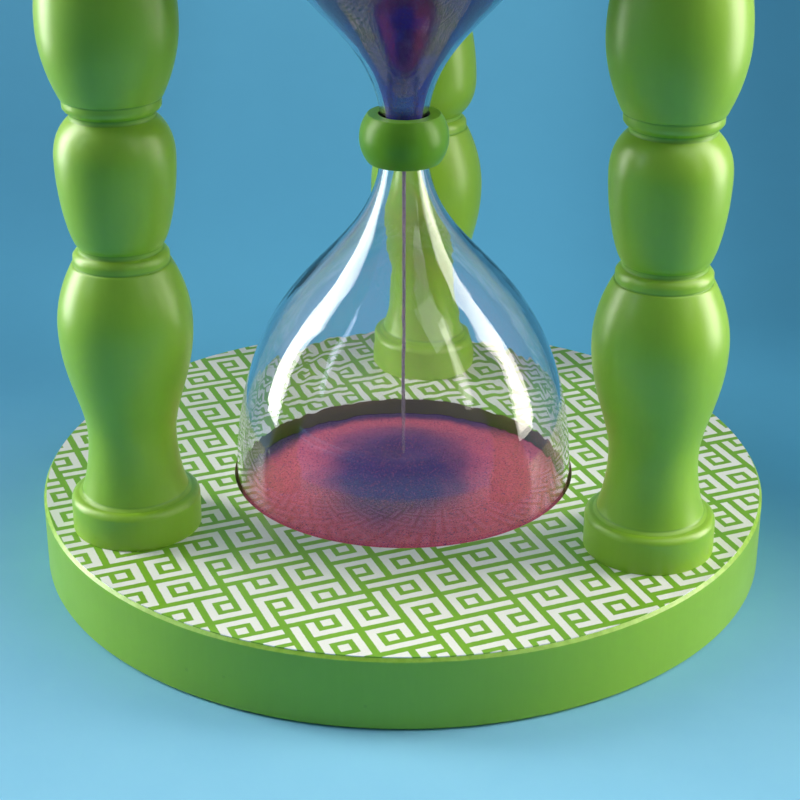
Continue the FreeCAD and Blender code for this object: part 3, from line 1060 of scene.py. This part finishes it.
def sandFinish(name, build, speckShare, fade=None):
    finish, tree, skin = newFinish(name)
    d, spot = dyeSettings, objectPlace(tree)
    ground, speck = build(tree, spot, d)
    grains = useGroup(tree, dyedGrains, ground=ground, speck=speck, speckShare=speckShare)
    dress(skin, {"Base Color": grains["Colour"], "Roughness": d["roughness"],
                 "Normal": bump(grains["Height"], *d["relief"]),
                 "Specular IOR Level": d["shine"]})
    if fade:  # falling grains draw apart as they gain speed
        feed(skin.inputs["Alpha"], ramped(axesOf(spot)[2], *fade))
    return finish


def heapDye(tree, spot, d):  # violet ran last: it lies round the middle and along the back wall; its band is carried round the left rim as painted shade
    x, y = axesOf(spot)[:2]
    ragged = times(minus(noise(spot, *d["ragged"]), 0.5), d["raggedness"])

    def oval(key):
        squares = [calc("POWER", calc("DIVIDE", minus(axis, centre), half), 2.0)
                   for axis, centre, half in zip((x, y), d[key + "Centre"], d[key + "Size"])]
        far = calc("SQRT", plus(*squares))
        return ramped(plus(far, ragged), *d[key + "Fade"])

    patch, halo = oval("patch"), times(oval("halo"), d["haloShare"])
    reach = plus(offAxis(x, y), times(ragged, d["streakRaggedness"]))
    behind = minus(y, times(x, 0.5))
    # violet sand along the back wall, carried round the left rim as painted shade
    streak = times(ramped(reach, *d["wallStreakAndShade"]), ramped(behind, *d["streakAndShadeBehind"]))
    ground = mixed(larger(patch, streak), mixedTones(halo, d["rose"], d["plum"]), tone(d["violet"]))
    return ground, mixedTones(patch, d["plum"], d["heapSpeck"])


def hopperDye(tree, spot, d):  # bands of violet and plum drawn down to the neck
    bands = ramped(noise(spot, *d["bands"]), *d["bandFade"])
    return mixedTones(bands, *d["bandTones"]), tone(d["plum"])


def streamDye(tree, spot, d):
    broken = noise(spot, *d["broken"])
    return mixedTones(broken, *d["brokenTones"]), tone(d["streamSpeck"])


def makeSand(name, node, outline, finish, seed):
    s = sandSettings
    piece = turnedPiece(name, outline, finish, s["turnSteps"])
    grown(piece, sandSurface, grainSize=s["grainSize"], grainDensity=s["grainDensity"],
          unevenness=s["unevenness"], seed=seed, finish=finish)
    return settled(piece, "frame", "coloured_sand", node)


heapFinish = sandFinish("heapSand", heapDye, 0.12)
hopperFinish = sandFinish("hopperSand", hopperDye, 0.12)
makeSand("lowerSand", "lower_sand", lowerSandOutline(), heapFinish, 3)
makeSand("upperSand", "upper_sand", upperSandOutline(), hopperFinish, 7)

streamSettings = {
    "radii": (0.4, 0.48),  # of the core, at its foot and at its head
    "turnSteps": 16, "grains": 2600, "grainSize": 0.00012, "spread": 0.0005,
    "clear": (0.2, 1.2),   # core without grains at its foot and at its head
    "speckShare": 0.2, "fade": (0.028, 0.052, 0.12, 1.0),
}


def makeStream():
    s = streamSettings
    (low, high), (foot, head) = (heightOf("sand_stream", k) for k in (0, 1)), s["radii"]
    finish = sandFinish("streamSand", streamDye, s["speckShare"], s["fade"])
    outline = joined(straights((0, low), (foot, low), (head, high), (0, high)), 0.05, 2.0)
    stream = turnedPiece("sandStream", outline, finish, s["turnSteps"])
    grown(stream, fallingGrains, count=s["grains"], bottom=(low + s["clear"][0]) * mm,
          top=(high - s["clear"][1]) * mm, spread=s["spread"], grainSize=s["grainSize"],
          finish=finish)
    settled(stream, "frame", "coloured_sand", "sand_stream")


makeStream()
print("sand poured")


# Hidden pieces: felt pads, brass disc, steel screws

padSettings = {"edgeRound": 0.4, "turnSteps": 96}
fibreSettings = {
    "greenFelt": {"tones": ("1E3A1E", "41683C"), "fibres": (1500.0, 4.0, 0.75),
                  "relief": (0.0002, 0.8), "roughness": (0.95, 0.95),
                  "more": {"Sheen Weight": 0.4}},
    "brassDisc": {"tones": ("C9A24C", "A8823A"), "fibres": ((2500.0, 2500.0, 400.0), 3.0, 0.6),
                  "relief": (0.00002,), "roughness": (0.25, 0.4), "more": {"Metallic": 1.0}},
    "screwSteel": {"tones": ("B5B2A8", "8F8C84"), "fibres": ((400.0, 400.0, 3000.0), 3.0, 0.6),
                   "relief": (0.00002,), "roughness": (0.3, 0.45), "more": {"Metallic": 1.0}},
}


def fibreFinish(name):
    finish, tree, skin = newFinish(name)
    s = fibreSettings[name]
    fibres = noise(objectPlace(tree), *s["fibres"])
    dress(skin, {"Base Color": mixedTones(fibres, *s["tones"]),
                 "Roughness": ramped(fibres, 0.2, 0.8, *s["roughness"]),
                 "Normal": bump(fibres, *s["relief"]), **s["more"]})
    return finish


felt, brass, steel = (fibreFinish(name) for name in fibreSettings)
for name, node in (("lowerPad", "lower_pad"), ("upperPad", "upper_pad")):
    outline = joined(discRuns(radiusOf(node), heightOf(node, 0), heightOf(node, 1),
                              padSettings["edgeRound"]), 0.05, 3.0)
    settled(turnedPiece(name, outline, felt, padSettings["turnSteps"]), "frame", "felt", node)

for node in cadNodes:
    if node == "orifice_disc" or "_screw_" in node:
        refinish(node, brass if node == "orifice_disc" else steel)
print("small pieces finished")


# Stage: a pale blue sweep, two tall side lamps, a soft front fill and a lamp overhead

stageSettings = {
    # the back colour, darker than the floor's, is painted shade: light falling off towards the back
    "floorColour": "88C9EC", "backColour": "4888B0", "wallColour": "6CABC3",
    "shadeColour": "317399",
    "backTurn": (-0.11, 0.12), "wallTurn": (0.2, 0.4),  # where one colour gives way to the next
    "shadeAside": (0.0, 0.12), "shadeBack": (-0.06, 0.06),
    "fibre": (40.0, 3.0, 0.6), "fibreFade": (0.3, 0.7, 0.0, 0.06),
    "roughness": 0.9, "shine": 0.1, "bendStart": 0.08, "sweepRadius": 0.35, "sweepSteps": 32,
    "front": -2.5, "halfWidth": 3.0, "height": 3.0, "target": (0.0, 0.0, 0.12),
    "lamps": {  # power, size, degrees round +Z from the front, degrees up, distance, colour,
                # beam, and the place that the lamp points at
        "left": (1.22, (0.17, 0.62), -91, 22, 0.42, "FFFFF4", 100, (0.0, -0.12, 0.17)),
        "right": (0.92, (0.18, 0.5), 87, 18, 0.37, "FFF8E8", 100, (0.0, -0.16, 0.14)),
        "leftFront": (0.6, (0.08, 0.5), -62, 28, 0.8, "DCE8FF", 180, (0.0, 0.0, 0.12)),
        "rightFront": (0.55, (0.08, 0.5), 54, 28, 0.8, "F4F0E4", 180, (0.0, 0.0, 0.12)),
        "overhead": (1.8, (0.6, 0.75), 62, 64, 0.85, "F4F8FF", 180, (0.0, 0.0, 0.12)),
    },
    "world": ("59AAFF", 0.09),
    "backGlow": "48869E",  # light of the backdrop's own, for the eye, glass and gloss only
    "glowBack": (-0.06, 0.17), "glowCorner": (0.08, 0.15),
    "glowLeft": (-0.15, -0.09, 0.8, 1.0), "glowRight": (0.02, 0.13, 0.0, 0.5),
    "room": ("ECE9F2", 0.45),  # a pale room: a painted glow on the sweep past its edges, and the world's light, both seen only by glass and gloss
    "roomEdge": (0.15, 0.32), "roomDepth": (0.5, 0.9), "roomRise": (0.0, 0.2),
    "windowSpan": (-1.8, -0.45, 1.7, 0.55),  # how the room's brightness falls from left to right
    "farEdge": (0.28, 1.1), "farRise": (0.0, 0.5), "farGlow": 0.9,
}


def sweepMesh():
    s = stageSettings
    radius, steps, width = s["sweepRadius"], s["sweepSteps"], s["halfWidth"]
    profile = [(s["front"], 0.0)]
    for i in range(steps + 1):
        turn = math.pi / 2 * i / steps
        profile.append((s["bendStart"] + radius * math.sin(turn), radius * (1 - math.cos(turn))))
    profile.append((s["bendStart"] + radius, s["height"]))
    mesh = bpy.data.meshes.new("sweep")
    mesh.from_pydata([(x, y, z) for y, z in profile for x in (-width, width)], [],
                     [(i, i + 1, i + 3, i + 2) for i in range(0, 2 * len(profile) - 2, 2)])
    mesh.polygons.foreach_set("use_smooth", [True] * len(mesh.polygons))
    return mesh


def glowShare(tree, seen, side, back):  # strongest on the wall, weaker in the right corner
    s = stageSettings
    corner = times(ramped(side, *s["glowRight"]), ramped(back, *s["glowCorner"]))
    return times(times(seen, ramped(back, *s["glowBack"])), times(
        ramped(side, *s["glowLeft"]), minus(1.0, corner)))


def sweepFinish():
    finish, tree, skin = newFinish("sweepPaper")
    s, spot = stageSettings, objectPlace(tree)
    floorTone, backTone, wallTone, shadeTone = (
        tone(s[key + "Colour"]) for key in ("floor", "back", "wall", "shade"))
    path, clear = rayKinds(tree)
    side, back, height = axesOf(spot)
    # painted shade: the floor darkens towards the back
    near = mixed(ramped(back, *s["backTurn"]), floorTone, backTone)
    far = mixed(ramped(back, *s["wallTurn"]), near, wallTone)
    shade = times(ramped(side, *s["shadeAside"]), ramped(back, *s["shadeBack"]))
    fibre = ramped(noise(spot, *s["fibre"]), *s["fibreFade"])
    glowing = glowShare(tree, larger(path["Is Camera Ray"], clear), side, back)
    dress(skin, {
        "Base Color": mixed(fibre, mixed(shade, far, shadeTone), (1, 1, 1, 1), "SOFT_LIGHT"),
        "Roughness": s["roughness"], "Specular IOR Level": s["shine"],
        "Emission Color": mixed(glowing, (0, 0, 0, 1), tone(s["backGlow"])),
        "Emission Strength": 1.0})

    def plain(rise, colour, glow):
        return out(tree, "Emission", {0: mixed(ramped(height, *rise), floorTone, colour), 1: glow})

    aside, front = calc("ABSOLUTE", side), times(back, -1.0)
    outside = larger(ramped(aside, *s["roomEdge"]), ramped(front, *s["roomDepth"]))
    distant = larger(larger(ramped(aside, *s["farEdge"]), ramped(front, *s["farEdge"])),
                     ramped(height, *s["farEdge"]))
    # past its edges the sweep glows as a painted room, for glass and gloss only
    room = plain(s["roomRise"], tone(s["room"][0]), ramped(side, *s["windowSpan"]))
    seen = shaderMix(times(clear, outside), skin.outputs[0], room)
    seen = shaderMix(times(path["Is Camera Ray"], distant), seen,
                     plain(s["farRise"], wallTone, s["farGlow"]))
    behind = put(tree, "NewGeometry").outputs["Backfacing"]
    # from behind, the sweep doesn't hide the hourglass
    show(shaderMix(behind, seen, out(tree, "BsdfTransparent")))
    return finish


def makeLamp(name, power, size, angle, elevation, distance, warmth, beam, aim):
    lamp = bpy.data.lights.new(name, "AREA")
    lamp.shape, lamp.energy, lamp.color = "RECTANGLE", power, tone(warmth)[:3]
    (lamp.size, lamp.size_y), lamp.spread = size, math.radians(beam)
    holder = placed(name, lamp)
    holder.location = Vector(stageSettings["target"]) + distance * heading(angle, elevation)
    holder.rotation_mode = "QUATERNION"
    holder.rotation_quaternion = (Vector(aim) - holder.location).to_track_quat("-Z", "Y")


def makeWorld():
    s = stageSettings
    world = bpy.data.worlds.new("studio")
    world.use_nodes = True
    tree = world.node_tree
    path, clear = rayKinds(tree)
    skyGlow = put(tree, "ShaderNodeMapRange", {0: clear, 3: s["world"][1], 4: s["room"][1]})
    lit = mixedTones(clear, s["world"][0], s["room"][0])
    dress(tree.nodes["Background"], {
        "Color": mixed(path["Is Camera Ray"], lit, tone(s["wallColour"])),
        "Strength": larger(skyGlow.outputs[0], path["Is Camera Ray"])})
    bpy.context.scene.world = world


sweep = placed("sweep", sweepMesh())
sweep.data.materials.append(sweepFinish())
for name, settings in stageSettings["lamps"].items():
    makeLamp(name, *settings)
makeWorld()
bpy.context.scene.view_settings.view_transform = "Standard"
print("stage lit")
